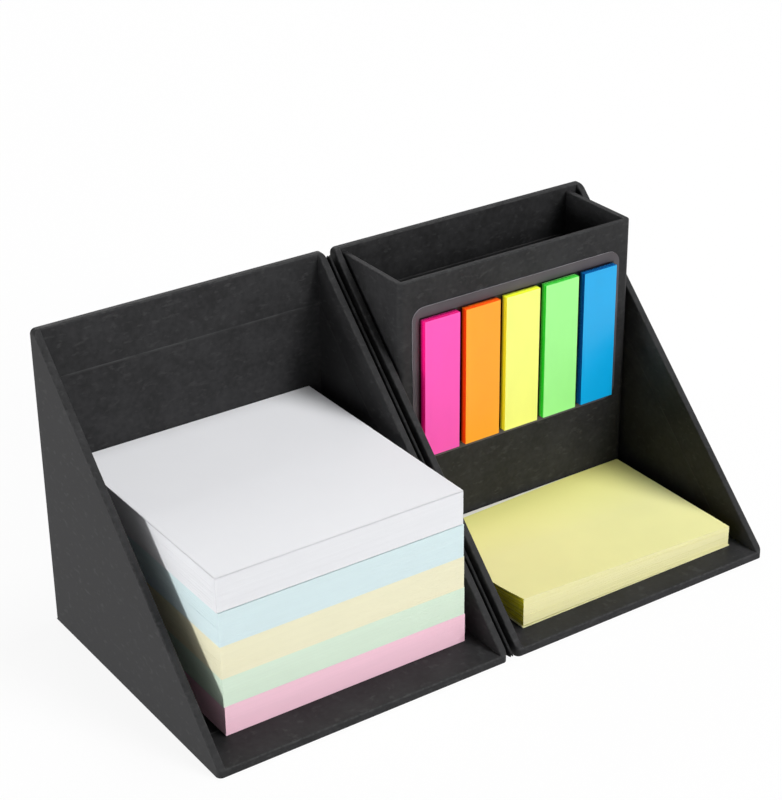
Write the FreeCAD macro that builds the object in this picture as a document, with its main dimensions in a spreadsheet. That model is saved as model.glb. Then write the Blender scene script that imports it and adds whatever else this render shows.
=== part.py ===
# Fold-out memo box.
# Two wedge-shaped half boxes of paper-covered greyboard stand side by side. A folded paper strip joins
# the sloping rims of their inner sides, and the pen half turns over the memo half to close a cube.
# Frame: X to the right, Y to the back, Z up, origin on the table under the middle of the open box.
# Every piece of a half is drawn with x = 0 at the left face of its half, and with y and z counted from
# the corner of the closed box, so that the fold plane is z = y.
import FreeCAD, Part
import os
import re

import Sketcher

SIZES = [
    ("wall_board", 1.8, "greyboard of the walls"),
    ("wrap_paper", 0.2, "cover paper"),
    ("liner_paper", 0.3, "lining paper"),
    ("bottom_paper", 0.2, "sheet under the base"),
    ("rim_seam", 0.35, "drop of the rims below the fold plane, upright"),
    ("turn_in", 15.0, "cover paper turned in along the mouth, upright"),
    ("corner_round", 1.5, "rounding of the covered tips"),
    ("hinge_gap", 3.0, "space between the two inner sides"),
    ("hinge_paper", 0.3, "paper of the hinge strip"),
    ("hinge_depth", 14.0, "reach of the strip below the fold plane"),
    ("hinge_free", 6.0, "depth of the fold above the glue"),
    ("hinge_crease", 0.75, "outer radius of the crease"),
    ("hinge_sink", 0.2, "depth of the crease below the fold plane"),
    ("hinge_margin", 3.0, "end of the strip from the underside and the back"),
    ("memo_side", 75.0, "side of a memo sheet"),
    ("memo_gap_inner", 3.9, "space beside the sheets, hinge side"),
    ("memo_gap_outer", 6.5, "space beside the sheets, outer side"),
    ("memo_clear", 0.3, "space between the sheets and the back"),
    ("memo_ledge", 14.4, "corner of the closed box to the front of the sheets"),
    ("white_height", 10.4, "stack of white sheets"),
    ("blue_height", 9.9, "stack of blue sheets"),
    ("yellow_height", 9.7, "stack of yellow sheets"),
    ("green_height", 8.5, "stack of green sheets"),
    ("pink_height", 8.7, "stack of pink sheets"),
    ("pocket_reach", 28.2, "back lining to the front of the pocket"),
    ("pocket_drop", 1.6, "top of the pocket below the top of the back"),
    ("pocket_board", 1.4, "greyboard of the pocket"),
    ("pocket_paper", 0.2, "cover paper of the pocket"),
    ("pocket_gap_inner", 0.6, "space beside the pocket, hinge side"),
    ("pocket_gap_outer", 2.2, "space beside the pocket, outer side, for its swing into the memo half"),
    ("card_film", 0.25, "film of the flag card"),
    ("card_corner", 4.0, "corner radius of the card"),
    ("card_edge", 2.45, "card beside the outer flags"),
    ("card_head", 3.3, "card above the flags"),
    ("card_foot", 1.8, "card below the flags"),
    ("card_drop", 8.6, "top of the card below the top of the pocket"),
    ("flag_width", 12.5, "width of a flag"),
    ("flag_length", 43.0, "length of a flag"),
    ("flag_thick", 2.2, "thickness of a pad of flags"),
    ("flag_space", 1.7, "space between two flags"),
    ("pad_gap_inner", 5.6, "space beside the sticky pad, hinge side"),
    ("pad_gap_outer", 3.8, "space beside the sticky pad, outer side"),
    ("pad_ledge", 7.65, "front edge of the base to the sticky pad"),
    ("pad_clear", 0.3, "space between the sticky pad and the pocket"),
    ("pad_height", 6.0, "thickness of the sticky pad"),
    ("pad_lift", 3.0, "rise of its near corner beside the hinge"),
    ("pad_curl", 18.0, "length of the curl along the side beside the hinge"),
    ("pad_rise", 0.8, "rise that is left behind the curl"),
    ("pad_backing", 0.3, "backing sheet of the sticky pad"),
]

# Two points or edges closer than this are the same one, in millimetres.
SAME_PLACE = 1e-4
# The most of a wall's thickness that a rounding may take.
ROUND_SHARE = 0.9

# Sizes that follow from the driving ones. All are formulas, so that the pieces stay tied to the sheet.
LINED_WALL = "(wrap_paper + wall_board + liner_paper)"
RIM_WALL = "(wrap_paper + wall_board + wrap_paper)"
RIM_BASE = "(bottom_paper + wall_board + wrap_paper)"
BOARD_FACE = "(wrap_paper + wall_board)"
BOARD_TOP = "(bottom_paper + wall_board)"
FLOOR = "(bottom_paper + wall_board + liner_paper)"
HALF_WIDTH = f"(memo_side + memo_gap_inner + memo_gap_outer + 2 * {LINED_WALL})"
FOLD_SIDE = f"(memo_ledge + memo_side + memo_clear + {LINED_WALL})"
FRONT = f"({RIM_BASE} + rim_seam)"
TOP = f"({FOLD_SIDE} - {RIM_WALL} - rim_seam)"
BOARD_ROUND = f"min(corner_round - wrap_paper; {ROUND_SHARE} * wall_board)"
COVER_ROUND = f"({BOARD_ROUND} + wrap_paper)"
BACK_LINING = f"({FOLD_SIDE} - {LINED_WALL})"
POCKET_FRONT = f"({BACK_LINING} - pocket_reach)"
POCKET_TOP = f"({TOP} - pocket_drop)"
POCKET_WALL = "(2 * pocket_paper + pocket_board)"
POCKET_LEFT = f"({LINED_WALL} + pocket_gap_inner)"
POCKET_RIGHT = f"({HALF_WIDTH} - {LINED_WALL} - pocket_gap_outer)"
CARD_TOP = f"({POCKET_TOP} - card_drop)"
FLAG_PITCH = "(flag_width + flag_space)"
FLAG_COLOURS = ["pink", "orange", "yellow", "green", "blue"]
FLAG_ROW = f"({len(FLAG_COLOURS)} * {FLAG_PITCH} - flag_space)"
MEMO_COLOURS = ["pink", "green", "yellow", "blue", "white"]

# Left face of each half, and the shift that brings the middle of the open box over the origin.
MEMO_HALF = f"-hinge_gap / 2 - {HALF_WIDTH}"
PEN_HALF = "hinge_gap / 2"
MIDDLE_SHIFT = f"-({FOLD_SIDE} + {FRONT}) / 2"

document = FreeCAD.newDocument("memo_box")
sheet = document.addObject("Spreadsheet::Sheet", "Sizes")
for row, (alias, size, meaning) in enumerate(SIZES, 1):
    sheet.set(f"A{row}", meaning)
    sheet.set(f"B{row}", str(size))
    sheet.setAlias(f"B{row}", alias)
document.recompute()

pieces = []


def sized(formula):
    """The formula with each size pointing to its cell of the sheet."""
    return re.sub(r"[a-z]+_[a-z_]+", r"Sizes.\g<0>", formula)


def measure(formula):
    """The present value of a formula, in millimetres."""
    return float(sheet.evalExpression(sized(formula)))


def new_body(label, half):
    """An empty body in the frame of one half of the box."""
    body = document.addObject("PartDesign::Body", label)
    body.Label = label
    body.setExpression("Placement.Base.x", sized(half))
    body.setExpression("Placement.Base.y", sized(MIDDLE_SHIFT))
    return body


def new_sketch(body, name, plane, offset):
    """An empty sketch on one of the body's own planes, moved along its normal."""
    sketch = body.newObject("Sketcher::SketchObject", name)
    support = [feature for feature in body.Origin.OriginFeatures if feature.Role == plane]
    sketch.AttachmentSupport = [(support[0], "")]
    sketch.MapMode = "FlatFace"
    sketch.setExpression("AttachmentOffset.Base.z", sized(offset))
    return sketch


def fix_point(sketch, geometry, end, place):
    """Ties one point of a sketch to two formulas."""
    for kind, formula in zip(("DistanceX", "DistanceY"), place):
        if formula is not None:
            rule = Sketcher.Constraint(kind, -1, 1, geometry, end, measure(formula))
            number = sketch.addConstraint(rule)
            sketch.setExpression(f"Constraints[{number}]", sized(formula))


def outline(body, name, plane, offset, corners, arcs=None):
    """A closed outline through corners that are pairs of formulas.

    Its sides are straight, apart from those whose number is in arcs, which gives a point on the way
    and the second coordinate of the centre.
    """
    arcs = arcs or {}
    sketch = new_sketch(body, name, plane, offset)
    points = [FreeCAD.Vector(measure(across), measure(along), 0) for across, along in corners]
    count = len(points)
    ends = []
    for index in range(count):
        start, stop = points[index], points[(index + 1) % count]
        if index in arcs:
            across, along = arcs[index][0]
            middle = FreeCAD.Vector(measure(across), measure(along), 0)
            sketch.addGeometry(Part.ArcOfCircle(start, middle, stop))
        else:
            sketch.addGeometry(Part.LineSegment(start, stop))
        starts_first = sketch.getPoint(index, 1).distanceToPoint(start) < SAME_PLACE
        ends.append((1, 2) if starts_first else (2, 1))
    for index in range(count):
        following = (index + 1) % count
        rule = Sketcher.Constraint("Coincident", index, ends[index][1], following, ends[following][0])
        sketch.addConstraint(rule)
    for index, corner in enumerate(corners):
        fix_point(sketch, index, ends[index][0], corner)
    for index, (middle, centre) in arcs.items():
        fix_point(sketch, index, 3, (None, centre))
    return sketch


def pad(body, sketch, length):
    """Pads a sketch along its normal."""
    feature = body.newObject("PartDesign::Pad", f"{sketch.Name}_pad")
    feature.Profile = sketch
    feature.setExpression("Length", sized(length))
    document.recompute()
    return feature


def pocket(body, sketch, length):
    """Cuts a sketch along its normal, and makes sure that it met the solid."""
    before = body.Shape.Volume
    feature = body.newObject("PartDesign::Pocket", f"{sketch.Name}_pocket")
    feature.Profile = sketch
    feature.Reversed = True
    feature.setExpression("Length", sized(length))
    document.recompute()
    if feature.Shape.Volume >= before:
        raise RuntimeError(f"{feature.Name} cuts nothing")
    return feature


def edges_at(shape, **place):
    """Names of the straight edges that lie at two given coordinates."""
    names = []
    for number, edge in enumerate(shape.Edges, 1):
        box = edge.BoundBox
        span = {"x": (box.XMin, box.XMax), "y": (box.YMin, box.YMax), "z": (box.ZMin, box.ZMax)}
        if all(abs(limit - place[axis]) < SAME_PLACE for axis in place for limit in span[axis]):
            names.append(f"Edge{number}")
    return names


def round_edges(body, base, places, radius):
    """Rounds the edges of a body that lie at the given places."""
    names = [name for place in places for name in edges_at(base.Shape, **place)]
    feature = body.newObject("PartDesign::Fillet", f"{base.Name}_round")
    feature.Base = (base, names)
    feature.setExpression("Radius", sized(radius))
    document.recompute()
    return feature


def keep(piece):
    """Counts a finished object as a piece of the box."""
    pieces.append(piece)
    return piece


def rectangle(across, along):
    """The corners of a rectangle between two pairs of formulas."""
    return [(across[0], along[0]), (across[1], along[0]), (across[1], along[1]), (across[0], along[1])]


def slab(label, half, across, along, upright):
    """A flat piece or a stack: a rectangle padded up from its lower face."""
    body = new_body(label, half)
    sketch = outline(body, f"{label}_outline", "XY_Plane", upright[0], rectangle(across, along))
    pad(body, sketch, f"({upright[1]}) - ({upright[0]})")
    return keep(body)


def side_outline(inset):
    """A triangular side with blunt tips, all its edges but the lowest drawn in by the inset."""
    seam = f"(rim_seam + {inset} * sqrt(2))"
    front = f"({FRONT} + {inset})"
    back = f"({FOLD_SIDE} - {inset})"
    top = f"({TOP} - {inset})"
    return [(front, "bottom_paper"), (back, "bottom_paper"), (back, top),
            (f"{top} + {seam}", top), (front, f"{front} - {seam}")]


def side_board(label, half, start, outer_face):
    """A triangular greyboard side, rounded where its outer face reaches the two tips."""
    body = new_body(label, half)
    sketch = outline(body, f"{label}_outline", "YZ_Plane", start, side_outline("wrap_paper"))
    plate = pad(body, sketch, "wall_board")
    face = measure(outer_face)
    front_tip = {"x": face, "y": measure(f"{FRONT} + wrap_paper")}
    top_tip = {"x": face, "z": measure(f"{TOP} - wrap_paper")}
    round_edges(body, plate, [front_tip, top_tip], BOARD_ROUND)
    return keep(body)


def covered_tray(label, half):
    """The outer form of a half: base, back and two sides with their paper, rounded at the four tips."""
    body = new_body(label, half)
    ell = [(FRONT, "bottom_paper"), (FOLD_SIDE, "bottom_paper"), (FOLD_SIDE, TOP),
           (f"{FOLD_SIDE} - {RIM_WALL}", TOP), (f"{FOLD_SIDE} - {RIM_WALL}", RIM_BASE), (FRONT, RIM_BASE)]
    pad(body, outline(body, f"{label}_ell", "YZ_Plane", "0", ell), HALF_WIDTH)
    for name, start in (("left", "0"), ("right", f"{HALF_WIDTH} - {RIM_WALL}")):
        sketch = outline(body, f"{label}_{name}", "YZ_Plane", start, side_outline("0"))
        tray = pad(body, sketch, RIM_WALL)
    tips = []
    for face in (0, measure(HALF_WIDTH)):
        tips.append({"x": face, "y": measure(FRONT)})
        tips.append({"x": face, "z": measure(TOP)})
    round_edges(body, tray, tips, COVER_ROUND)
    lining = lining_outline("0")
    sketch = outline(body, f"{label}_lining", "YZ_Plane", BOARD_FACE, lining)
    pocket(body, sketch, f"{HALF_WIDTH} - 2 * {BOARD_FACE}")
    return body


def lining_outline(inset):
    """The triangle that the lining takes up against base and back, below the turned-in paper."""
    floor = f"({BOARD_TOP} + {inset})"
    back = f"({FOLD_SIDE} - {BOARD_FACE} - {inset})"
    edge = "(rim_seam + turn_in)"
    return [(f"{floor} + {edge}", floor), (back, floor), (back, f"{back} - {edge}")]


def liner(label, half):
    """The paper tray that lines a half: base, back and two sides in one."""
    body = new_body(label, half)
    sketch = outline(body, f"{label}_outside", "YZ_Plane", BOARD_FACE, lining_outline("0"))
    pad(body, sketch, f"{HALF_WIDTH} - 2 * {BOARD_FACE}")
    mouth = [("0", FLOOR), (BACK_LINING, FLOOR), (BACK_LINING, f"{FLOOR} + {BACK_LINING}")]
    sketch = outline(body, f"{label}_inside", "YZ_Plane", LINED_WALL, mouth)
    pocket(body, sketch, f"{HALF_WIDTH} - 2 * {LINED_WALL}")
    return keep(body)


def cover(label, form, boards):
    """Cover paper: what is left of a covered form when its boards are taken out."""
    core = document.addObject("Part::MultiFuse", f"{label}_core")
    core.Shapes = boards
    paper = document.addObject("Part::Cut", label)
    paper.Label = label
    paper.Base = form
    paper.Tool = core
    document.recompute()
    return keep(paper)


def half_box(name, half, inner_is_left):
    """The boards and papers of one half."""
    between = (BOARD_FACE, f"{HALF_WIDTH} - {BOARD_FACE}")
    behind = f"{FOLD_SIDE} - wrap_paper"
    base = slab(f"{name}_base_board", half, between,
                (f"{FRONT} + wrap_paper", behind), ("bottom_paper", BOARD_TOP))
    back = slab(f"{name}_back_board", half, between,
                (f"{FOLD_SIDE} - {BOARD_FACE}", behind), (BOARD_TOP, f"{TOP} - wrap_paper"))
    left_name, right_name = ("inner", "outer") if inner_is_left else ("outer", "inner")
    left = side_board(f"{name}_{left_name}_side_board", half, "wrap_paper", "wrap_paper")
    right = side_board(f"{name}_{right_name}_side_board", half,
                       f"{HALF_WIDTH} - {BOARD_FACE}", f"{HALF_WIDTH} - wrap_paper")
    cover(f"{name}_cover_paper", covered_tray(f"{name}_tray", half), [base, back, left, right])
    liner(f"{name}_liner_paper", half)
    bottom = slab(f"{name}_bottom_sheet", half,
                  ("0", HALF_WIDTH), (FRONT, FOLD_SIDE), ("0", "bottom_paper"))
    corners = [{"x": face, "y": measure(FRONT)} for face in (0, measure(HALF_WIDTH))]
    round_edges(bottom, bottom.Tip, corners, COVER_ROUND)


def memo_sheets():
    """Five stacks of loose sheets, one on the other, against the back of the memo half."""
    left = f"({LINED_WALL} + memo_gap_outer)"
    back = f"({BACK_LINING} - memo_clear)"
    height = FLOOR
    for colour in MEMO_COLOURS:
        top = f"({height} + {colour}_height)"
        slab(f"memo_{colour}", MEMO_HALF,
             (left, f"{left} + memo_side"), (f"{back} - memo_side", back), (height, top))
        height = top


def hinge_strip():
    """One strip of paper folded along the slope: a rounded crease, two free flanks and two glued legs."""
    body = document.addObject("PartDesign::Body", "hinge_strip")
    body.Label = "hinge_strip"
    body.Placement.Rotation = FreeCAD.Rotation(FreeCAD.Vector(1, 0, 0), -45)
    body.setExpression("Placement.Base.y", sized(MIDDLE_SHIFT))
    wall = "hinge_gap / 2"
    level = "(hinge_sink + hinge_crease)"
    outer = [(wall, "hinge_depth"), (wall, "hinge_free"), ("hinge_crease", level)]
    inner = [("(hinge_crease - hinge_paper)", level), (f"({wall} - hinge_paper)", "hinge_free"),
             (f"({wall} - hinge_paper)", "hinge_depth")]
    mirrored = [(f"-{across}", depth) for across, depth in reversed(inner + outer)]
    left_outer, left_inner = mirrored[:3], mirrored[3:]
    corners = outer + left_outer + left_inner + inner
    crease = {2: (("0", "hinge_sink"), level), 8: (("0", "hinge_sink + hinge_paper"), level)}
    sketch = outline(body, "hinge_fold", "XY_Plane", "0", corners, crease)
    pad(body, sketch, f"{FOLD_SIDE} * sqrt(2)")
    reach = "2 * hinge_depth"
    low = "hinge_margin * sqrt(2)"
    high = f"({FOLD_SIDE} - hinge_margin) * sqrt(2)"
    front_end = [("0", "0"), (reach, "0"), (reach, f"{reach} + {low}"), ("0", low)]
    top_end = [("0", high), (reach, f"{high} - {reach}"), (reach, f"{FOLD_SIDE} * sqrt(2)"),
               ("0", f"{FOLD_SIDE} * sqrt(2)")]
    for name, corners in (("front_end", front_end), ("top_end", top_end)):
        trim = outline(body, f"hinge_{name}", "YZ_Plane", f"-{wall}", corners)
        pocket(body, trim, "hinge_gap")
    keep(body)


def pen_pocket():
    """Three boards and their cover paper, standing on the base against the back of the pen half."""
    boards_left = f"({POCKET_LEFT} + pocket_paper)"
    boards_right = f"({POCKET_RIGHT} - pocket_paper)"
    face = f"({POCKET_FRONT} + pocket_paper)"
    behind = f"({face} + pocket_board)"
    upright = (FLOOR, f"{POCKET_TOP} - pocket_paper")
    front = slab("pocket_front_board", PEN_HALF, (boards_left, boards_right), (face, behind), upright)
    left_board = slab("pocket_left_board", PEN_HALF, (boards_left, f"{boards_left} + pocket_board"),
                      (behind, BACK_LINING), upright)
    right_board = slab("pocket_right_board", PEN_HALF, (f"{boards_right} - pocket_board", boards_right),
                       (behind, BACK_LINING), upright)
    form = new_body("pocket_form", PEN_HALF)
    inner_left = f"({POCKET_LEFT} + {POCKET_WALL})"
    inner_right = f"({POCKET_RIGHT} - {POCKET_WALL})"
    inner_front = f"({POCKET_FRONT} + {POCKET_WALL})"
    corners = [(POCKET_LEFT, BACK_LINING), (POCKET_LEFT, POCKET_FRONT),
               (POCKET_RIGHT, POCKET_FRONT), (POCKET_RIGHT, BACK_LINING),
               (inner_right, BACK_LINING), (inner_right, inner_front),
               (inner_left, inner_front), (inner_left, BACK_LINING)]
    pad(form, outline(form, "pocket_plan", "XY_Plane", FLOOR, corners), f"{POCKET_TOP} - {FLOOR}")
    cover("pocket_cover_paper", form, [front, left_board, right_board])


def page_flags():
    """A film card with rounded corners on the front of the pocket, and the pads of flags on it."""
    middle = f"({POCKET_LEFT} + {POCKET_RIGHT}) / 2"
    half_row = f"{FLAG_ROW} / 2"
    card_face = f"({POCKET_FRONT} - card_film)"
    left = f"({middle} - {half_row} - card_edge)"
    right = f"({middle} + {half_row} + card_edge)"
    low = f"({CARD_TOP} - card_head - flag_length - card_foot)"
    card = slab("flag_card", PEN_HALF, (left, right), (card_face, POCKET_FRONT), (low, CARD_TOP))
    sides = [measure(side) for side in (left, right)]
    levels = [measure(level) for level in (low, CARD_TOP)]
    corners = [{"x": side, "z": level} for side in sides for level in levels]
    round_edges(card, card.Tip, corners, "card_corner")
    top = f"({CARD_TOP} - card_head)"
    for index, colour in enumerate(FLAG_COLOURS):
        start = f"({middle} - {half_row} + {index} * {FLAG_PITCH})"
        slab(f"flag_{colour}", PEN_HALF, (start, f"{start} + flag_width"),
             (f"{card_face} - flag_thick", card_face), (f"{top} - flag_length", top))


def sticky_notes():
    """A pad of notes on its backing sheet, with the near corner beside the hinge lifted."""
    left = f"({LINED_WALL} + pad_gap_inner)"
    right = f"({HALF_WIDTH} - {LINED_WALL} - pad_gap_outer)"
    front = f"({FRONT} + pad_ledge)"
    back = f"({POCKET_FRONT} - pad_clear)"
    base = f"({FLOOR} + pad_backing)"
    top = f"({base} + pad_height)"
    slab("sticky_pad_backing", PEN_HALF, (left, right), (front, back), (FLOOR, base))
    body = new_body("sticky_pad", PEN_HALF)
    sections = []
    for name, place, rise in (("near", front, "pad_lift"), ("curl", f"({front} + pad_curl)", "pad_rise"),
                              ("far", back, "0")):
        corners = [(left, base), (right, base), (right, top), (left, f"{top} + {rise}")]
        sections.append(outline(body, f"sticky_pad_{name}", "XZ_Plane", f"-{place}", corners))
    loft = body.newObject("PartDesign::AdditiveLoft", "sticky_pad_loft")
    loft.Profile = sections[0]
    loft.Sections = sections[1:]
    loft.Ruled = True
    document.recompute()
    keep(body)


half_box("memo", MEMO_HALF, inner_is_left=False)
memo_sheets()
hinge_strip()
half_box("pen", PEN_HALF, inner_is_left=True)
pen_pocket()
page_flags()
sticky_notes()
document.recompute()

for item in document.Objects:
    if {"Invalid", "Error"} & set(item.State):
        raise RuntimeError(f"{item.Label} failed: {item.State}")
for piece in pieces:
    if piece.Shape.isNull() or not piece.Shape.isValid():
        raise RuntimeError(f"{piece.Label} has no valid shape")

os.makedirs("parts", exist_ok=True)
for piece in pieces:
    piece.Shape.exportStep(f"parts/{piece.Label}.step")
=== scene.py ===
import math

import bmesh
import bpy
from mathutils import Matrix, Vector, noise


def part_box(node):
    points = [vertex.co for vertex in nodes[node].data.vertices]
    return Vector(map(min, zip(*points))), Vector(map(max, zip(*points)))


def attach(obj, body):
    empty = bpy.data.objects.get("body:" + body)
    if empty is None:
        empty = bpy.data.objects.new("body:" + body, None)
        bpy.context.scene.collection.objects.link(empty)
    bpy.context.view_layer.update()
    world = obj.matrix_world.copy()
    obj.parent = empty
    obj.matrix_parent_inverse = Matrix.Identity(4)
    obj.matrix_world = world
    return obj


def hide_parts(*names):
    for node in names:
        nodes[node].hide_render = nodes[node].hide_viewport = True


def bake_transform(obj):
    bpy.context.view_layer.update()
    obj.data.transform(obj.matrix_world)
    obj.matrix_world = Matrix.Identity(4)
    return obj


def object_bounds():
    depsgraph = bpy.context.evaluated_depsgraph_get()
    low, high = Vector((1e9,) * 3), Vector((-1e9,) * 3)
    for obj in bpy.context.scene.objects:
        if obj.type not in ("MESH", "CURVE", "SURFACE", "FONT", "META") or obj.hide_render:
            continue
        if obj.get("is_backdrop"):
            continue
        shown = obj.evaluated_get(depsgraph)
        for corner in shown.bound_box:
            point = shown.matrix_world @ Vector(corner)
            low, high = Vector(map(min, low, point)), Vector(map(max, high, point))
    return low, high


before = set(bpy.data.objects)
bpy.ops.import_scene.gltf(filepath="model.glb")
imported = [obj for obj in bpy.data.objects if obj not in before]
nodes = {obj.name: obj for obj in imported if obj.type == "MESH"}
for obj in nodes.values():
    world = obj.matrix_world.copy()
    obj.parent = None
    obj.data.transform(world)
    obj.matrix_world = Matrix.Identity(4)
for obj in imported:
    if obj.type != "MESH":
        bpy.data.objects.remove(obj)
cad_low, cad_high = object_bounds()


# Greyboard. The walls of both halves and of the pocket are boards pressed from waste paper, cut to shape
# and glued edge to edge. Paper covers them on both faces, so no more than their cut ends is ever bare.

MM = 0.001
BOARD_DARK = (0.24, 0.22, 0.19, 1)
BOARD_PALE = (0.40, 0.37, 0.33, 1)
BOARD_FIBRE = 0.7 * MM
BOARD_BUMP = 0.04 * MM
BOARD_ROUGHNESS = 0.92
BOARD_SPECULAR = 0.2
NOISE_SPAN = (0.35, 0.65)
WALLS = ("back", "base", "outer_side", "inner_side")
BOARDS = [f"{half}_{wall}_board" for half in ("memo", "pen") for wall in WALLS]
BOARDS += ["pocket_left_board", "pocket_right_board"]


def start_material(name, roughness, specular):
    """Makes a material, and returns it with its node tree and its shader."""
    material = bpy.data.materials.new(name)
    material.use_nodes = True
    shader = material.node_tree.nodes["Principled BSDF"]
    shader.inputs["Roughness"].default_value = roughness
    shader.inputs["Specular IOR Level"].default_value = specular
    return material, material.node_tree, shader


def add_node(tree, kind, inputs=(), **settings):
    """Adds a node with its settings, and gives its inputs values or other nodes' outputs."""
    node = tree.nodes.new(kind)
    for setting, value in settings.items():
        setattr(node, setting, value)
    for socket, value in dict(inputs).items():
        if isinstance(value, bpy.types.NodeSocket):
            tree.links.new(value, node.inputs[socket])
        else:
            node.inputs[socket].default_value = value
    return node


def grain(tree, size, detail=2, stretch=(1, 1, 1)):
    """Noise fixed to the object, with grains of the given size, longer along the stretched axes."""
    place = add_node(tree, "ShaderNodeTexCoord").outputs["Object"]
    scale = [1 / (size * along) for along in stretch]
    place = add_node(tree, "ShaderNodeMapping", {"Vector": place, "Scale": scale}).outputs["Vector"]
    grains = {"Vector": place, "Scale": 1, "Detail": detail}
    return add_node(tree, "ShaderNodeTexNoise", grains).outputs["Fac"]


def spread(tree, value, low, high, to_low=0, to_high=1):
    """Stretches the part of a value from low to high over another range."""
    ends = {"Value": value, "From Min": low, "From Max": high, "To Min": to_low, "To Max": to_high}
    return add_node(tree, "ShaderNodeMapRange", ends).outputs["Result"]


def between(tree, share, first, second):
    """Mixes two colours, of which either may be another node's output."""
    return add_node(tree, "ShaderNodeMix", {0: share, 6: first, 7: second}, data_type="RGBA").outputs[2]


def roughen(tree, shader, height, depth):
    """Raises the surface by a height of 0 to 1, times the depth."""
    bump = add_node(tree, "ShaderNodeBump", {"Height": height, "Distance": depth})
    tree.links.new(bump.outputs["Normal"], shader.inputs["Normal"])


def dress(piece, material):
    """Gives a piece one material."""
    piece.data.materials.clear()
    piece.data.materials.append(material)


greyboard, tree, shader = start_material("greyboard", BOARD_ROUGHNESS, BOARD_SPECULAR)
fibre = grain(tree, BOARD_FIBRE, detail=4)
flecks = between(tree, spread(tree, fibre, *NOISE_SPAN), BOARD_DARK, BOARD_PALE)
tree.links.new(flecks, shader.inputs["Base Color"])
roughen(tree, shader, fibre, BOARD_BUMP)
for board in BOARDS:
    dress(nodes[board], greyboard)


# Cover papers. One black paper a half is folded round the outside of its boards, over their rims and
# 15 mm down inside, and glued there. Its folds are softly round, and handling has rubbed them paler.

COVER_THICK = 0.2 * MM
COVER_TIP = 1.5 * MM
COVER_FOLD = 0.5 * MM
RIM_WALL = 2.2 * MM
BASE_RIM = 2.2 * MM
SMALLEST_FOLD = math.radians(30)
TIP_STEPS = 5
FOLD_STEPS = 4
COVER_DARK = (0.0155, 0.0155, 0.0162, 1)
COVER_PALE = (0.0275, 0.0275, 0.0288, 1)
COVER_WORN = (0.036, 0.036, 0.037, 1)
PAPER_ROUGHNESS = 0.6
PAPER_ROUGHNESS_SPAN = (0.55, 0.65)
PAPER_SPECULAR = 0.16
PAPER_LARGE_CLOUD = 9 * MM
PAPER_SMALL_CLOUD = 1.4 * MM
PAPER_CLOUD_SPAN = (0.75, 1.25)
PAPER_FIBRE = 0.45 * MM
PAPER_BUMP = 0.012 * MM
PAPER_FLECK = 1.3 * MM
PAPER_FLECK_STRETCH = (2, 2, 1)
PAPER_FLECK_SPAN = (0.58, 0.70)
PAPER_RUB = 1.2 * MM
PAPER_RUB_SPAN = (0.42, 0.62)
PAPER_MOST_WORN = 0.9


def make_plain(piece):
    """Swaps a piece's modifiers for the mesh that they give."""
    bpy.context.view_layer.update()
    shaped = piece.evaluated_get(bpy.context.evaluated_depsgraph_get())
    mesh = bpy.data.meshes.new_from_object(shaped)
    piece.modifiers.clear()
    former = piece.data
    piece.data = mesh
    bpy.data.meshes.remove(former)
    mesh.name = piece.name


def new_piece(name, shape):
    """Turns a bmesh into a piece with smooth faces."""
    for face in shape.faces:
        face.smooth = True
    mesh = bpy.data.meshes.new(name)
    shape.to_mesh(mesh)
    shape.free()
    piece = bpy.data.objects.new(name, mesh)
    bpy.context.collection.objects.link(piece)
    return piece


def thicken(piece, thickness):
    """Gives a sheet its thickness, behind its outer face, and keeps flat panels flat in the light."""
    solid = piece.modifiers.new("paper", "SOLIDIFY")
    solid.thickness = thickness
    solid.offset = -1
    make_plain(piece)
    piece.data.set_sharp_from_angle(angle=SMALLEST_FOLD)
    panels = piece.modifiers.new("panels", "WEIGHTED_NORMAL")
    panels.keep_sharp = True
    make_plain(piece)


def round_off(shape, edges, radius, steps):
    """Rounds edges of a bmesh, and returns the new faces."""
    rounded = bmesh.ops.bevel(shape, geom=edges, offset=radius, segments=steps, profile=0.5, affect="EDGES")
    return rounded["faces"]


def fold_paper(name, panels, tips, tip_round, fold_round, thickness):
    """Paper round boards: flat panels, the first on the outside, that meet in folds, with rounder tips."""
    paper = bmesh.new()
    corners = {}
    for panel in panels:
        for point in panel:
            if point not in corners:
                corners[point] = paper.verts.new(point)
        paper.faces.new([corners[point] for point in panel])
    bmesh.ops.recalc_face_normals(paper, faces=paper.faces)
    paper.faces.ensure_lookup_table()
    middle = sum((vert.co for vert in paper.verts), Vector()) / len(paper.verts)
    outside = paper.faces[0]
    if outside.normal.dot(outside.calc_center_median() - middle) < 0:
        bmesh.ops.reverse_faces(paper, faces=paper.faces)
    edges = [paper.edges.get([corners[point] for point in tip]) for tip in tips]
    round_off(paper, edges, tip_round, TIP_STEPS)
    edges = [edge for edge in paper.edges if edge.is_manifold]
    edges = [edge for edge in edges if edge.calc_face_angle_signed() > SMALLEST_FOLD]
    rounded = set(round_off(paper, edges, fold_round, FOLD_STEPS))
    worn = paper.verts.layers.float.new("worn")
    for vert in paper.verts:
        vert[worn] = float(all(face in rounded for face in vert.link_faces))
    piece = new_piece(name, paper)
    thicken(piece, thickness)
    return piece


def work_out(tree, operation, *values):
    """The result of an operation on numbers, of which each may be another node's output."""
    return add_node(tree, "ShaderNodeMath", dict(enumerate(values)), operation=operation).outputs[0]


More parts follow.
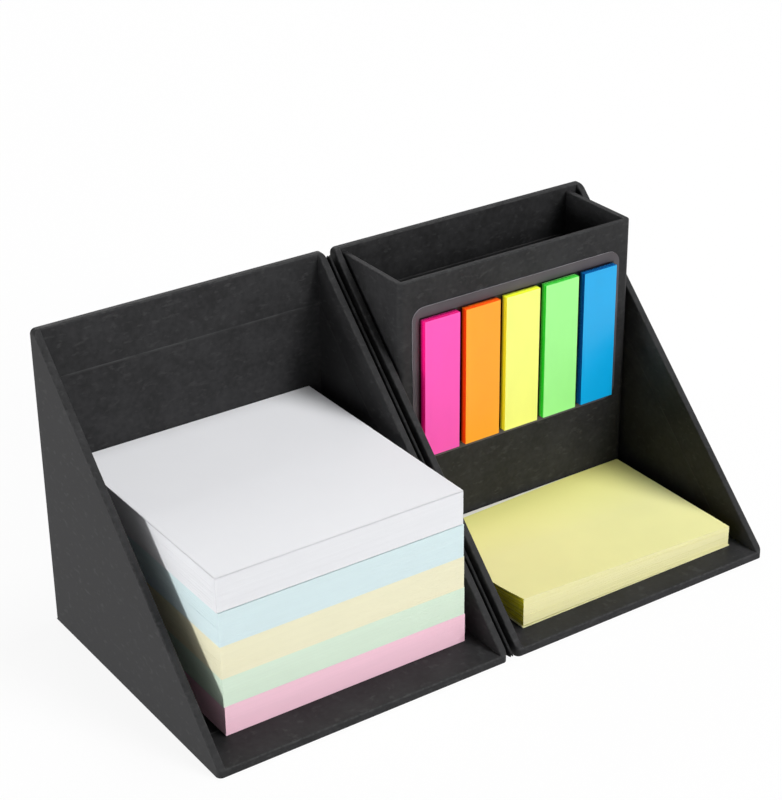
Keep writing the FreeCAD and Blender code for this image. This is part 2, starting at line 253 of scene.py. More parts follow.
def black_paper(name, dark, pale, worn):
    """Dyed paper: cloudy, with pale flecks and fine fibres, and paler where it is worn."""
    material, tree, shader = start_material(name, PAPER_ROUGHNESS, PAPER_SPECULAR)
    cloud = grain(tree, PAPER_LARGE_CLOUD, detail=3)
    cloud = work_out(tree, "ADD", cloud, grain(tree, PAPER_SMALL_CLOUD, detail=3))
    cloud = spread(tree, cloud, *PAPER_CLOUD_SPAN)
    fleck = grain(tree, PAPER_FLECK, detail=4, stretch=PAPER_FLECK_STRETCH)
    fleck = spread(tree, fleck, *PAPER_FLECK_SPAN, 0, PAPER_MOST_WORN)
    patch = spread(tree, grain(tree, PAPER_RUB, detail=4), *PAPER_RUB_SPAN, 0, PAPER_MOST_WORN)
    rub = add_node(tree, "ShaderNodeAttribute", attribute_name="worn").outputs["Fac"]
    rub = work_out(tree, "MULTIPLY", rub, patch)
    tone = between(tree, cloud, dark, pale)
    tone = between(tree, fleck, tone, worn)
    tone = between(tree, rub, tone, worn)
    tree.links.new(tone, shader.inputs["Base Color"])
    tree.links.new(spread(tree, cloud, 0, 1, *PAPER_ROUGHNESS_SPAN), shader.inputs["Roughness"])
    roughen(tree, shader, grain(tree, PAPER_FIBRE, detail=3), PAPER_BUMP)
    return material


cover_black = black_paper("cover_paper", COVER_DARK, COVER_PALE, COVER_WORN)
for half in ("memo", "pen"):
    low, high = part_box(f"{half}_cover_paper")
    lining_low, lining_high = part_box(f"{half}_liner_paper")
    left, right = low.x, high.x
    left_in, right_in = left + RIM_WALL, right - RIM_WALL
    front, back, back_in = low.y, high.y, high.y - RIM_WALL
    bottom, step, top = low.z, BASE_RIM, high.z
    turn_in_y = lining_low.y + step - lining_low.z
    turn_in_z = lining_high.z - lining_high.y + back_in
    panels = []
    for side in (left, right):
        profile = ((front, bottom), (back, bottom), (back, top), (back_in, top), (front, step))
        panels.append([(side, y, z) for y, z in profile])
    panels.append([(left, back, bottom), (right, back, bottom), (right, back, top), (left, back, top)])
    leftward = (right, right_in, left_in, left)
    panels.append([(left, front, bottom), (right, front, bottom)] + [(x, front, step) for x in leftward])
    panels.append([(left, back, top), (right, back, top)] + [(x, back_in, top) for x in leftward])
    for outer, inner in ((left, left_in), (right, right_in)):
        rim = [(outer, front, step), (inner, front, step), (inner, back_in, top), (outer, back_in, top)]
        panels.append(rim)
        band = ((front, step), (back_in, top), (back_in, turn_in_z), (turn_in_y, step))
        panels.append([(inner, y, z) for y, z in band])
    band = ((left_in, top), (right_in, top), (right_in, turn_in_z), (left_in, turn_in_z))
    panels.append([(x, back_in, z) for x, z in band])
    band = ((left_in, front), (right_in, front), (right_in, turn_in_y), (left_in, turn_in_y))
    panels.append([(x, y, step) for x, y in band])
    tips = [((side, front, bottom), (side, front, step)) for side in (left, right)]
    tips += [((side, back_in, top), (side, back, top)) for side in (left, right)]
    cover = fold_paper(f"{half}_cover", panels, tips, COVER_TIP, COVER_FOLD, COVER_THICK)
    dress(cover, cover_black)
    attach(cover, f"{half}_half")
    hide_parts(f"{half}_cover_paper")


# Linings. A tray of the same black paper is glued inside each half, below the turned-in cover. Along its cut
# edge a faint pale line is painted, partly the paper's paler cut edge and partly a painted highlight where
# the step catches light. A plain sheet under the base hides the cover's ends. Neither is rubbed.

LINING_DARK = (0.0155, 0.0155, 0.0162, 1)
LINING_PALE = (0.0275, 0.0275, 0.0288, 1)
LINING_FLECK = (0.032, 0.032, 0.033, 1)
# Faint pale line at the lining's cut edge: partly paler paper, partly painted highlight.
LINING_CUT_AND_HIGHLIGHT = (0.043, 0.043, 0.044, 1)
LINING_CUT_WIDTH = 0.7 * MM
LINING_CUT_PATCH = 8 * MM
LINING_CUT_SPAN = (0.4, 0.6)
LINING_CUT_FAINTEST = 0.3
AWAY_FROM_SLOPE = (0, 1, -1)

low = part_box("memo_liner_paper")[0]
lining_edge = low.y - low.z
lining_black = black_paper("lining_paper", LINING_DARK, LINING_PALE, LINING_FLECK)
tree = lining_black.node_tree
shade = tree.nodes["Principled BSDF"].inputs["Base Color"]
inward = {0: add_node(tree, "ShaderNodeTexCoord").outputs["Object"], 1: AWAY_FROM_SLOPE}
inward = add_node(tree, "ShaderNodeVectorMath", inward, operation="DOT_PRODUCT").outputs["Value"]
# Pale line along the cut edge, partly a painted highlight, in patches.
cut = spread(tree, inward, lining_edge, lining_edge + LINING_CUT_WIDTH, 1, 0)
patch = spread(tree, grain(tree, LINING_CUT_PATCH), *LINING_CUT_SPAN, LINING_CUT_FAINTEST, 1)
cut = work_out(tree, "MULTIPLY", cut, patch)
tree.links.new(between(tree, cut, shade.links[0].from_socket, LINING_CUT_AND_HIGHLIGHT), shade)
sole_black = black_paper("sole_paper", LINING_DARK, LINING_PALE, LINING_FLECK)
for half in ("memo", "pen"):
    dress(nodes[f"{half}_liner_paper"], lining_black)
    dress(nodes[f"{half}_bottom_sheet"], sole_black)


# Hinge. A strip of tough black paper is folded once along its length, and its two legs are glued to the
# facing side walls and cut to their outline. The crease lies just below the sloping rims, and opens flat
# when the box is closed.

HINGE_THICK = 0.3 * MM
HINGE_LEG = 1.5 * MM
HINGE_DEPTH = 14 * MM
HINGE_GLUE = 6 * MM
CREASE_ROUND = 0.5 * MM
CREASE_DEPTH = 1.6 * MM
CREASE_STEPS = 10
CREASE_WORN = 0.5
HINGE_MARGIN = 0.4 * MM
HINGE_TOP = 1.6 * MM
HINGE_ROWS = 60
HINGE_WAVE = 0.10 * MM
HINGE_WAVES_ALONG = 40
HINGE_WAVES_ACROSS = 3 / MM
FOLD_AHEAD = 2.55 * MM
FOLD_FRONT = cad_low.y - FOLD_AHEAD
UP_SLOPE = Vector((0, 1, 1))
HINGE_DARK = (0.0075, 0.0075, 0.0079, 1)
HINGE_PALE = (0.0150, 0.0150, 0.0158, 1)


def hinge_ends(x, depth):
    """The ends of a line along the strip, at a depth below the fold, where it meets the walls' outline."""
    line = Vector((x, FOLD_FRONT + math.sqrt(2) * depth, 0))
    low = max(HINGE_MARGIN, cad_low.y + HINGE_MARGIN - line.y)
    high = min(cad_high.z - HINGE_TOP, cad_high.y - HINGE_MARGIN - line.y)
    return line + low * UP_SLOPE, line + high * UP_SLOPE


section = [(-HINGE_LEG, HINGE_DEPTH), (-HINGE_LEG, HINGE_GLUE)]
for step in range(CREASE_STEPS + 1):
    angle = math.pi * step / CREASE_STEPS
    section.append((-CREASE_ROUND * math.cos(angle), CREASE_DEPTH - CREASE_ROUND * math.sin(angle)))
section += [(HINGE_LEG, HINGE_GLUE), (HINGE_LEG, HINGE_DEPTH)]
strip = bmesh.new()
worn = strip.verts.layers.float.new("worn")
rows = []
for row in range(HINGE_ROWS + 1):
    share = row / HINGE_ROWS
    line = []
    for x, depth in section:
        free = max(0, 1 - depth / HINGE_GLUE)
        wave = noise.noise((HINGE_WAVES_ALONG * share, HINGE_WAVES_ACROSS * x, 0))
        wave = HINGE_WAVE * free * wave
        near, far = hinge_ends(x, depth)
        vert = strip.verts.new(near.lerp(far, share) + Vector((wave, wave, -wave)))
        vert[worn] = CREASE_WORN * max(0, 1 - depth / CREASE_DEPTH)
        line.append(vert)
    rows.append(line)
for line, following in zip(rows, rows[1:]):
    for place in range(len(section) - 1):
        strip.faces.new((line[place], line[place + 1], following[place + 1], following[place]))
hinge = new_piece("hinge", strip)
thicken(hinge, HINGE_THICK)
dress(hinge, black_paper("hinge_paper", HINGE_DARK, HINGE_PALE, COVER_WORN))
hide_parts("hinge_strip")
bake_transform(hinge)


# Pocket paper. The pocket is a front and two sides of thinner board, folded into one black paper that goes
# over their top edge and down inside. The front board's corners are rounded for the fold, and the paper's
# ends stand on the base and against the back wall.

POCKET_WALL = 1.8 * MM
POCKET_CORNER = 1.7 * MM
POCKET_FOLD = 0.4 * MM
BOARD_CORNER = 1.3 * MM
LEFT_WALL, FRONT_WALL, RIGHT_WALL = range(3)
FRONT_CORNERS = (1, 2)

low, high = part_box("pocket_cover_paper")
outline = [(low.x, high.y), (low.x, low.y), (high.x, low.y), (high.x, high.y)]
inside = [(low.x + POCKET_WALL, high.y), (low.x + POCKET_WALL, low.y + POCKET_WALL)]
inside += [(high.x - POCKET_WALL, low.y + POCKET_WALL), (high.x - POCKET_WALL, high.y)]
panels = []
for wall in (FRONT_WALL, LEFT_WALL, RIGHT_WALL):
    for foot, end in ((outline[wall], outline[wall + 1]), (inside[wall], inside[wall + 1])):
        panels.append([(*foot, low.z), (*end, low.z), (*end, high.z), (*foot, high.z)])
    rim = (outline[wall], outline[wall + 1], inside[wall + 1], inside[wall])
    panels.append([(*point, high.z) for point in rim])
tips = [((*outline[corner], low.z), (*outline[corner], high.z)) for corner in FRONT_CORNERS]
pocket = fold_paper("pocket_cover", panels, tips, POCKET_CORNER, POCKET_FOLD, COVER_THICK)
dress(pocket, cover_black)
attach(pocket, "pen_half")
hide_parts("pocket_cover_paper")

low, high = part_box("pocket_front_board")
shape = bmesh.new()
bmesh.ops.create_cube(shape, size=1)
for vert in shape.verts:
    vert.co = [end if along > 0 else start for along, start, end in zip(vert.co, low, high)]
corners = [edge for edge in shape.edges if all(vert.co.y == low.y for vert in edge.verts)]
corners = [edge for edge in corners if edge.verts[0].co.x == edge.verts[1].co.x]
round_off(shape, corners, BOARD_CORNER, TIP_STEPS)
board = new_piece("pocket_front", shape)
dress(board, greyboard)
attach(board, "pen_half")
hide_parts("pocket_front_board")


# Memo sheets. Five stacks of loose uncoated paper, white on blue, yellow, green and pink, lie in the memo
# half. They were cut as one block, so the edges are flush but for a hair, and the sheets show as fine
# lines. A little air lies under the white stack and under its top sheet.

SHEET_THICK = 0.1 * MM
SHEET_AIR = 0.995
SHEET_JITTER = 0.018 * MM
SHEET_TURN = math.radians(0.03)
FLAT_POINTS = 2
MEMO_ROUGHNESS = 0.9
MEMO_SPECULAR = 0.2
MEMO_DARKEST_SHEET = 0.975
MEMO_CLOUD = 14 * MM
MEMO_CLOUD_STRETCH = (1, 1, 0.15)
MEMO_CLOUD_SHARE = 0.35
MEMO_CLOUD_TONE = 0.95
MEMO_GRAIN = 0.25 * MM
MEMO_BUMP = 0.01 * MM
# Each stack's colour, slip to the right and back, air below it, air under its top sheet, and seed.
MEMO_STACKS = {
    "white": ((0.800, 0.806, 0.830, 1), (-0.45 * MM, 0.0), 0.30 * MM, 0.2 * MM, 11),
    "blue": ((0.680, 0.810, 0.830, 1), (-0.15 * MM, 0.05 * MM), 0.02 * MM, 0.0, 12),
    "yellow": ((0.860, 0.830, 0.610, 1), (0.05 * MM, 0.10 * MM), 0.02 * MM, 0.0, 13),
    "green": ((0.710, 0.840, 0.700, 1), (0.20 * MM, 0.10 * MM), 0.02 * MM, 0.0, 14),
    "pink": ((0.960, 0.630, 0.740, 1), (0.40 * MM, 0.05 * MM), 0.02 * MM, 0.0, 15),
}
STACK_INPUTS = {
    "Count": "NodeSocketInt",
    "Sheet size": "NodeSocketVector",
    "Columns": "NodeSocketInt",
    "Rows": "NodeSocketInt",
    "Place": "NodeSocketVector",
    "Step": "NodeSocketVector",
    "Jitter": "NodeSocketVector",
    "Turn": "NodeSocketVector",
    "Seed": "NodeSocketInt",
    "Material": "NodeSocketMaterial",
}


def random_vector(tree, size, seed):
    """A vector for each sheet, between minus size and size."""
    least = add_node(tree, "ShaderNodeVectorMath", {0: size, "Scale": -1}, operation="SCALE").outputs[0]
    ends = {0: least, 1: size, "Seed": seed}
    return add_node(tree, "FunctionNodeRandomValue", ends, data_type="FLOAT_VECTOR").outputs[0]


stack_tree = bpy.data.node_groups.new("stack of sheets", "GeometryNodeTree")
for name, kind in STACK_INPUTS.items():
    stack_tree.interface.new_socket(name, in_out="INPUT", socket_type=kind)
stack_tree.interface.new_socket("Geometry", in_out="OUTPUT", socket_type="NodeSocketGeometry")
given = add_node(stack_tree, "NodeGroupInput").outputs
line = {"Count": given["Count"], "Start Location": given["Place"], "Offset": given["Step"]}
places = add_node(stack_tree, "GeometryNodeMeshLine", line).outputs["Mesh"]
slip = random_vector(stack_tree, given["Jitter"], given["Seed"])
moved = {"Geometry": places, "Offset": slip}
places = add_node(stack_tree, "GeometryNodeSetPosition", moved).outputs["Geometry"]
sheet = {"Size": given["Sheet size"], "Vertices X": given["Columns"], "Vertices Y": given["Rows"]}
sheet = add_node(stack_tree, "GeometryNodeMeshCube", sheet).outputs["Mesh"]
turn = random_vector(stack_tree, given["Turn"], given["Seed"])
laid = {"Points": places, "Instance": sheet, "Rotation": turn}
sheets = add_node(stack_tree, "GeometryNodeInstanceOnPoints", laid).outputs["Instances"]
tone = add_node(stack_tree, "FunctionNodeRandomValue", {"Seed": given["Seed"]}, data_type="FLOAT").outputs[1]
marked = {"Geometry": sheets, "Name": "tone", "Value": tone}
toned = {"data_type": "FLOAT", "domain": "INSTANCE"}
sheets = add_node(stack_tree, "GeometryNodeStoreNamedAttribute", marked, **toned).outputs[0]
sheets = add_node(stack_tree, "GeometryNodeRealizeInstances", {"Geometry": sheets}).outputs[0]
finished = {"Geometry": sheets, "Material": given["Material"]}
finished = add_node(stack_tree, "GeometryNodeSetMaterial", finished).outputs[0]
add_node(stack_tree, "NodeGroupOutput", {"Geometry": finished})


def stack_sheets(name, values):
    """A piece of many sheets, made by the tree from the given values."""
    piece = bpy.data.objects.new(name, bpy.data.meshes.new(name))
    bpy.context.collection.objects.link(piece)
    modifier = piece.modifiers.new("sheets", "NODES")
    modifier.node_group = stack_tree
    for socket in stack_tree.interface.items_tree:
        if socket.in_out == "INPUT":
            modifier[socket.identifier] = values[socket.name]
    make_plain(piece)
    return piece


def darker(colour, share):
    """The colour times a share."""
    return [share * part for part in colour[:3]] + [1]


def memo_paper(name, colour):
    """Uncoated paper: each sheet a touch lighter or darker, with a soft grain on its faces and edges."""
    material, tree, shader = start_material(name, MEMO_ROUGHNESS, MEMO_SPECULAR)
    tone = add_node(tree, "ShaderNodeAttribute", attribute_name="tone").outputs["Fac"]
    shade = between(tree, tone, darker(colour, MEMO_DARKEST_SHEET), colour)
    cloud = grain(tree, MEMO_CLOUD, stretch=MEMO_CLOUD_STRETCH)
    cloud = spread(tree, cloud, *NOISE_SPAN, 0, MEMO_CLOUD_SHARE)
    shade = between(tree, cloud, shade, darker(colour, MEMO_CLOUD_TONE))
    tree.links.new(shade, shader.inputs["Base Color"])
    roughen(tree, shader, grain(tree, MEMO_GRAIN, detail=3), MEMO_BUMP)
    return material


for name, (colour, (slip_x, slip_y), air_below, air_on_top, seed) in MEMO_STACKS.items():
    low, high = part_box(f"memo_{name}")
    low.z += air_below
    high.z -= air_on_top
    count = round((high.z - low.z) / SHEET_THICK)
    rise = (high.z - low.z) / count
    inset = 2 * SHEET_JITTER
    stack = {
        "Count": count,
        "Sheet size": (high.x - low.x - inset, high.y - low.y - inset, rise * SHEET_AIR),
        "Columns": FLAT_POINTS,
        "Rows": FLAT_POINTS,
        "Place": ((low.x + high.x) / 2 + slip_x, (low.y + high.y) / 2 + slip_y, low.z + rise / 2),
        "Step": (0.0, 0.0, rise),
        "Jitter": (SHEET_JITTER, SHEET_JITTER, 0.0),
        "Turn": (0.0, 0.0, SHEET_TURN),
        "Seed": seed,
        "Material": memo_paper(f"memo_paper_{name}", colour),
    }
    piece = stack_sheets(f"memo_stack_{name}", stack)
    for vert in piece.data.vertices:
        if vert.co.z > high.z - rise:
            vert.co.z += air_on_top
    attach(piece, "memo_half")
    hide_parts(f"memo_{name}")


# Flag card. A clear film card with round corners is stuck to the front of the pocket to carry the flags.
# Over the black paper it looks grey, and its cut edges are painted pale, a painted highlight. Close round the
# flags it is painted dark, a painted shade of the flags.

FILM_FACE = (0.105, 0.090, 0.100, 1)
FILM_CLOUD = (0.075, 0.066, 0.074, 1)
FILM_CLOUD_SIZE = 12 * MM
# Painted highlight on the card's cut edges.
FILM_EDGE_HIGHLIGHT = (0.42, 0.40, 0.43, 1)
FILM_SHADED = (0.004, 0.004, 0.004, 1)
FILM_OPACITY = 0.8
FILM_ROUGHNESS = 0.32
FILM_SPECULAR = 0.5
SHADE_REACH = 0.5 * MM


def along_axes(tree, kind):
    """The three parts of a place on the object, or of the way that its surface faces."""
    vector = add_node(tree, "ShaderNodeTexCoord").outputs[kind]
    return add_node(tree, "ShaderNodeSeparateXYZ", {"Vector": vector}).outputs


film, tree, shader = start_material("card_film", FILM_ROUGHNESS, FILM_SPECULAR)
facing = work_out(tree, "ABSOLUTE", along_axes(tree, "Normal")["Y"])
cloud = spread(tree, grain(tree, FILM_CLOUD_SIZE), *NOISE_SPAN)
face = between(tree, cloud, FILM_FACE, FILM_CLOUD)
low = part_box("flag_pink")[0]
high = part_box("flag_blue")[1]
middle = (low + high) / 2
reach = (high - low) / 2
place = along_axes(tree, "Object")
sideways = work_out(tree, "ABSOLUTE", work_out(tree, "SUBTRACT", place["X"], middle.x))
upward = work_out(tree, "ABSOLUTE", work_out(tree, "SUBTRACT", place["Z"], middle.z))
sideways = spread(tree, sideways, reach.x, reach.x + SHADE_REACH, 1, 0)
upward = spread(tree, upward, reach.z, reach.z + SHADE_REACH, 1, 0)
# Painted shade close round the flags.
face = between(tree, work_out(tree, "MULTIPLY", sideways, upward), face, FILM_SHADED)
# The card's cut edges take the painted highlight.
tree.links.new(between(tree, facing, FILM_EDGE_HIGHLIGHT, face), shader.inputs["Base Color"])
shader.inputs["Alpha"].default_value = FILM_OPACITY
dress(nodes["flag_card"], film)


# Page flags. Five small pads of fluorescent film strips lie side by side on the card, held by their own
# glue. The faces glow pale. The cut edges are deeper in colour, partly their own and partly painted for
# light caught between the films. Painted shade darkens the edges towards the card, and the long edges
# get a painted glow that fades the same way.

FLAG_FILM = 0.09 * MM
FLAG_INSET = 0.25 * MM
FLAG_JITTER = 0.03 * MM
FLAG_TURN = math.radians(0.15)
# Strength of the painted glow on the long cut edges, share of the edge colour left in the painted shade at
# the card, and share of the depth, from the face, that the painted shade leaves alone.
FLAG_PAINTED_GLOW = 0.4
FLAG_EDGE_PAINTED_SHADE = 0.05
FLAG_PAINTED_LIT_SHARE = 0.4
FLAG_ROUGHNESS = 0.3
FLAG_EDGE_ROUGHNESS = 0.9
FLAG_SPECULAR = 0.5
FLAG_EDGE_SPECULAR = 0.1
FLAG_CLOUD = 6 * MM
FLAG_CLOUD_STRETCH = (1, 1, 3)
FLAG_CLOUD_TONE = 0.97
FLAG_WAVE = 5 * MM
FLAG_WAVE_STRETCH = (1, 1, 4)
FLAG_BUMP = 0.006 * MM
# Each pad's colour on the face, colour on the cut edges (partly painted for light caught between the films),
# and seed.
FLAGS = {
    "pink": ((1.00, 0.080, 0.49, 1), (0.74, 0.001, 0.17, 1), 21),
    "orange": ((1.00, 0.370, 0.010, 1), (0.97, 0.045, 0.002, 1), 22),
    "yellow": ((0.92, 0.950, 0.210, 1), (0.88, 1.000, 0.010, 1), 23),
    "green": ((0.35, 0.930, 0.275, 1), (0.010, 0.550, 0.020, 1), 24),
    "blue": ((0.000, 0.385, 0.800, 1), (0.001, 0.045, 0.240, 1), 25),
}


def flag_film(name, face, edge, front, back):
    """Satin film with a deeper colour on its dull cut edges, and painted shade that darkens them towards the
    card.

    The long edges get a painted glow, which fades with the painted shade.
    """
    material, tree, shader = start_material(name, FLAG_ROUGHNESS, FLAG_SPECULAR)
    faced = along_axes(tree, "Normal")
    sideways = work_out(tree, "ABSOLUTE", faced["X"])
    facing = work_out(tree, "ABSOLUTE", faced["Y"])
    cloud = spread(tree, grain(tree, FLAG_CLOUD, stretch=FLAG_CLOUD_STRETCH), *NOISE_SPAN)
    colour = between(tree, cloud, face, darker(face, FLAG_CLOUD_TONE))
    # Painted shade: the cut edges darken from the face towards the card.
    place = along_axes(tree, "Object")["Y"]
    light = spread(tree, place, front + FLAG_PAINTED_LIT_SHARE * (back - front), back, 1, 0)
    side = between(tree, light, darker(edge, FLAG_EDGE_PAINTED_SHADE), edge)
    tree.links.new(between(tree, facing, side, colour), shader.inputs["Base Color"])
    dull = spread(tree, facing, 0, 1, FLAG_EDGE_ROUGHNESS, FLAG_ROUGHNESS)
    tree.links.new(dull, shader.inputs["Roughness"])
    shine = spread(tree, facing, 0, 1, FLAG_EDGE_SPECULAR, FLAG_SPECULAR)
    tree.links.new(shine, shader.inputs["Specular IOR Level"])
    # Painted glow on the long cut edges, fading with the painted shade.
    glow = work_out(tree, "MULTIPLY", sideways, light)
    tree.links.new(spread(tree, glow, 0, 1, 0, FLAG_PAINTED_GLOW), shader.inputs["Emission Strength"])
    shader.inputs["Emission Color"].default_value = edge
    roughen(tree, shader, grain(tree, FLAG_WAVE, detail=1, stretch=FLAG_WAVE_STRETCH), FLAG_BUMP)
    return material


for name, (face, edge, seed) in FLAGS.items():
    low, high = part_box(f"flag_{name}")
    count = round((high.y - low.y) / FLAG_FILM)
    rise = (high.y - low.y) / count
    inset = 2 * FLAG_INSET
    pad = {
        "Count": count,
        "Sheet size": (high.x - low.x - inset, rise * SHEET_AIR, high.z - low.z - inset),
        "Columns": FLAT_POINTS,
        "Rows": FLAT_POINTS,
        "Place": ((low.x + high.x) / 2, high.y - rise / 2, (low.z + high.z) / 2),
        "Step": (0.0, -rise, 0.0),
        "Jitter": (FLAG_JITTER, 0.0, FLAG_JITTER),
        "Turn": (0.0, FLAG_TURN, 0.0),
        "Seed": seed,
        "Material": flag_film(f"flag_film_{name}", face, edge, low.y, high.y),
    }
    piece = stack_sheets(f"flag_pad_{name}", pad)
    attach(piece, "pen_half")
    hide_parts(f"flag_{name}")


# Sticky notes. A pad of yellow notes, glued along one edge, lies on its backing sheet in front of the pocket.
# Its near left corner has lifted with use and fans the sheets. A pale wedge is painted along the top's back
# edge, widest at the left. Painted shade turns the top a deeper yellow towards the back, and paints the left
# and right sides a deep, saturated yellow for shade and light bounced between the sheets.

NOTE_THICK = 0.1 * MM
NOTE_INSET = 0.25 * MM
NOTE_JITTER = 0.06 * MM
NOTE_TURN = math.radians(0.05)
NOTE_SEED = 31
NOTE_COLUMNS = 20
NOTE_ROWS = 16
NOTE_LIFT = 2.9 * MM
NOTE_CURL = 3
NOTE_LOWEST = 0.12
NOTE_ROUGHNESS = 0.88
NOTE_SPECULAR = 0.2
NOTE_FACE = (0.860, 0.830, 0.390, 1)
NOTE_CLOUD = 22 * MM
NOTE_CLOUD_TONE = 0.95
NOTE_EDGE = (0.860, 0.820, 0.480, 1)
NOTE_EDGE_TONE = 0.96
# Painted shade: deep saturated yellow for the left and right sides, with light bounced between the sheets.
NOTE_SIDE_PAINTED_SHADE = (0.780, 0.700, 0.020, 1)
NOTE_SIDE_TONES = (0.7, 1.2)
NOTE_FACING_SPAN = (0.5, 0.9)
# Painted shade: deeper yellow on the top towards the back, and where it begins and ends.
NOTE_BACK_PAINTED_SHADE = (0.840, 0.820, 0.270, 1)
NOTE_BACK_SHADE_ENDS = (-12 * MM, 14 * MM)
# A pale wedge painted along the top's back edge: its colour, widest width, length and blur.
NOTE_PALE_WEDGE = (0.880, 0.870, 0.800, 1)
NOTE_PALE_WEDGE_WIDTH = 2.4 * MM
NOTE_PALE_WEDGE_REACH = 60 * MM
NOTE_PALE_WEDGE_BLUR = 0.25 * MM
NOTE_GRAIN = 0.3 * MM
NOTE_BUMP = 0.01 * MM
BACKING_FACE = (0.860, 0.830, 0.460, 1)
BACKING_CLOUD = 3 * MM
BACKING_CLOUD_TONE = 0.9
BACKING_ROUGHNESS = 0.6
BACKING_SPECULAR = 0.4

low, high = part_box("sticky_pad")
notes_yellow, tree, shader = start_material("sticky_note_paper", NOTE_ROUGHNESS, NOTE_SPECULAR)
tone = add_node(tree, "ShaderNodeAttribute", attribute_name="tone").outputs["Fac"]
facing = along_axes(tree, "Normal")
upward = spread(tree, facing["Z"], *NOTE_FACING_SPAN)
sideways = spread(tree, work_out(tree, "ABSOLUTE", facing["X"]), *NOTE_FACING_SPAN)
# Painted shade on the left and right sides, each sheet a touch lighter or darker.
side_dark, side_pale = [darker(NOTE_SIDE_PAINTED_SHADE, share) for share in NOTE_SIDE_TONES]
side = between(tree, tone, side_dark, side_pale)
edge = between(tree, tone, darker(NOTE_EDGE, NOTE_EDGE_TONE), NOTE_EDGE)
edge = between(tree, sideways, edge, side)
cloud = spread(tree, grain(tree, NOTE_CLOUD), *NOISE_SPAN)
face = between(tree, cloud, NOTE_FACE, darker(NOTE_FACE, NOTE_CLOUD_TONE))
place = along_axes(tree, "Object")
# Painted shade: the top turns a deeper yellow towards the back.
face = between(tree, spread(tree, place["Y"], *NOTE_BACK_SHADE_ENDS), face, NOTE_BACK_PAINTED_SHADE)
# A pale wedge is painted along the back edge, widest at the left.
wedge = spread(tree, place["X"], low.x, low.x + NOTE_PALE_WEDGE_REACH, NOTE_PALE_WEDGE_WIDTH, 0)
wedge = work_out(tree, "ADD", place["Y"], wedge)
back_edge = high.y - NOTE_INSET
wedge = spread(tree, wedge, back_edge, back_edge + NOTE_PALE_WEDGE_BLUR)
face = between(tree, wedge, face, NOTE_PALE_WEDGE)
tree.links.new(between(tree, upward, edge, face), shader.inputs["Base Color"])
roughen(tree, shader, grain(tree, NOTE_GRAIN, detail=3), NOTE_BUMP)

top = high.z - NOTE_LIFT
count = round((top - low.z) / NOTE_THICK)
rise = (top - low.z) / count
inset = 2 * NOTE_INSET
pad = {
    "Count": count,
    "Sheet size": (high.x - low.x - inset, high.y - low.y - inset, rise * SHEET_AIR),
    "Columns": NOTE_COLUMNS,
    "Rows": NOTE_ROWS,
    "Place": ((low.x + high.x) / 2, (low.y + high.y) / 2, low.z + rise / 2),
    "Step": (0.0, 0.0, rise),
    "Jitter": (NOTE_JITTER, NOTE_JITTER, 0.0),
    "Turn": (0.0, 0.0, NOTE_TURN),
    "Seed": NOTE_SEED,
    "Material": notes_yellow,
}
notes = stack_sheets("sticky_notes", pad)
for vert in notes.data.vertices:
    across = (high.x - vert.co.x) / (high.x - low.x)
    along = (high.y - vert.co.y) / (high.y - low.y)
    lifted = NOTE_LOWEST + (1 - NOTE_LOWEST) * (vert.co.z - low.z) / (top - low.z)
    vert.co.z += NOTE_LIFT * lifted * across * along ** NOTE_CURL
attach(notes, "pen_half")
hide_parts("sticky_pad")

backing, tree, shader = start_material("sticky_backing_paper", BACKING_ROUGHNESS, BACKING_SPECULAR)
cloud = spread(tree, grain(tree, BACKING_CLOUD, detail=3), *NOISE_SPAN)
face = between(tree, cloud, BACKING_FACE, darker(BACKING_FACE, BACKING_CLOUD_TONE))
tree.links.new(face, shader.inputs["Base Color"])
dress(nodes["sticky_pad_backing"], backing)


# Studio. The box stands on a wide white table between white walls, under a dim ceiling. Soft lamps light it
# from the front right and from above, a small one low from the left, and a weak one from behind. The
# camera stands where the photograph's did, at its focal length.

FLOOR_SIZE = 12.0
FLOOR_DROP = 0.05 * MM
FLOOR_WHITE = (0.60, 0.60, 0.60, 1)
FLOOR_ROUGHNESS = 0.9
FLOOR_SPECULAR = 0.1
FLOOR_GLOW = 1.04
FLOOR_GLOW_SHARE = 0.88
PURE_WHITE = (1, 1, 1, 1)
WALL_WHITE = 1.0
CEILING_GREY = 0.12
WALL_TOP = 0.12
CEILING_LOW = 0.35
# Each lamp's place, width and power.
LAMPS = {
    "side": ((-2.45, 0.08, 0.16), 0.34, 36.5),
    "front": ((0.68, -1.29, 0.75), 0.7, 17),
    "top": ((0.46, -0.10, 1.58), 0.8, 15.6),
    "back": ((0.40, 1.36, 0.80), 0.8, 7.5),
}
CAMERA_TARGET = Vector((-8.17, 0.275, 62.26)) * MM
CAMERA_DISTANCE = 561.7 * MM
CAMERA_AZIMUTH = math.radians(-34.234)
CAMERA_ELEVATION = math.radians(26.991)
CAMERA_ROLL = math.radians(-0.599)
CAMERA_SENSOR = 36
FOCAL_PIXELS = 2080.4
FRAME_PIXELS = 800


def seen_rays(tree):
    """1 for rays that show a thing itself, straight, mirrored or through glass, and 0 for others."""
    path = add_node(tree, "ShaderNodeLightPath").outputs
    seen = work_out(tree, "MAXIMUM", path["Is Camera Ray"], path["Is Glossy Ray"])
    return work_out(tree, "MAXIMUM", seen, path["Is Transmission Ray"])


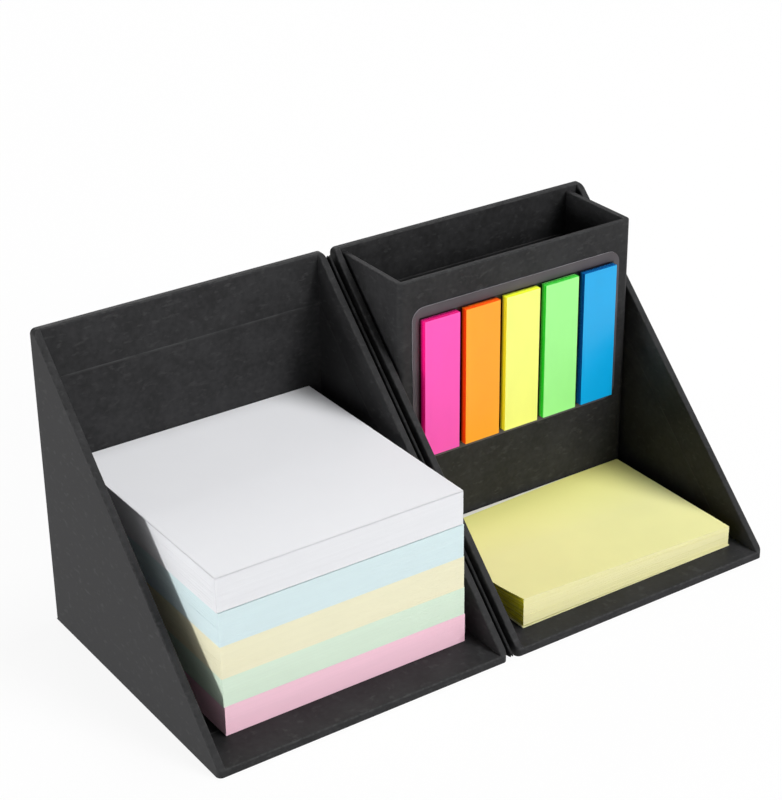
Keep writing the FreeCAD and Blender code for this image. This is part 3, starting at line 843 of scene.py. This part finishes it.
shape = bmesh.new()
bmesh.ops.create_grid(shape, x_segments=1, y_segments=1, size=FLOOR_SIZE / 2)
floor = new_piece("floor", shape)
floor.location.z = -FLOOR_DROP
white, tree, shader = start_material("floor", FLOOR_ROUGHNESS, FLOOR_SPECULAR)
shader.inputs["Base Color"].default_value = FLOOR_WHITE
glow = add_node(tree, "ShaderNodeEmission", {"Strength": FLOOR_GLOW}).outputs[0]
share = spread(tree, seen_rays(tree), 0, 1, 0, FLOOR_GLOW_SHARE)
lit = add_node(tree, "ShaderNodeMixShader", {0: share, 1: shader.outputs[0], 2: glow}).outputs[0]
tree.links.new(lit, tree.nodes["Material Output"].inputs["Surface"])
floor.data.materials.append(white)
floor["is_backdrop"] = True

world = bpy.data.worlds.new("dome")
world.use_nodes = True
bpy.context.scene.world = world
tree = world.node_tree
upward = along_axes(tree, "Generated")["Z"]
strength = spread(tree, upward, WALL_TOP, CEILING_LOW, WALL_WHITE, CEILING_GREY)
background = tree.nodes["Background"]
background.inputs["Color"].default_value = PURE_WHITE
tree.links.new(strength, background.inputs["Strength"])

for name, (place, size, power) in LAMPS.items():
    lamp = bpy.data.lights.new(name, "AREA")
    lamp.shape = "DISK"
    lamp.size = size
    lamp.energy = power
    light = bpy.data.objects.new(name, lamp)
    light.location = place
    light.rotation_euler = (CAMERA_TARGET - light.location).to_track_quat("-Z", "Y").to_euler()
    bpy.context.collection.objects.link(light)

lens = bpy.data.cameras.new("camera")
lens.sensor_width = CAMERA_SENSOR
lens.lens = FOCAL_PIXELS * CAMERA_SENSOR / FRAME_PIXELS
camera = bpy.data.objects.new("camera", lens)
bpy.context.collection.objects.link(camera)
turned = Matrix.Rotation(CAMERA_AZIMUTH, 4, "Z") @ Matrix.Rotation(math.pi / 2 - CAMERA_ELEVATION, 4, "X")
turned = turned @ Matrix.Rotation(CAMERA_ROLL, 4, "Z")
back = turned @ Vector((0, 0, CAMERA_DISTANCE))
camera.matrix_world = Matrix.Translation(CAMERA_TARGET + back) @ turned
bpy.context.scene.camera = camera
bpy.context.scene.view_settings.view_transform = "Standard"

low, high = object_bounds()
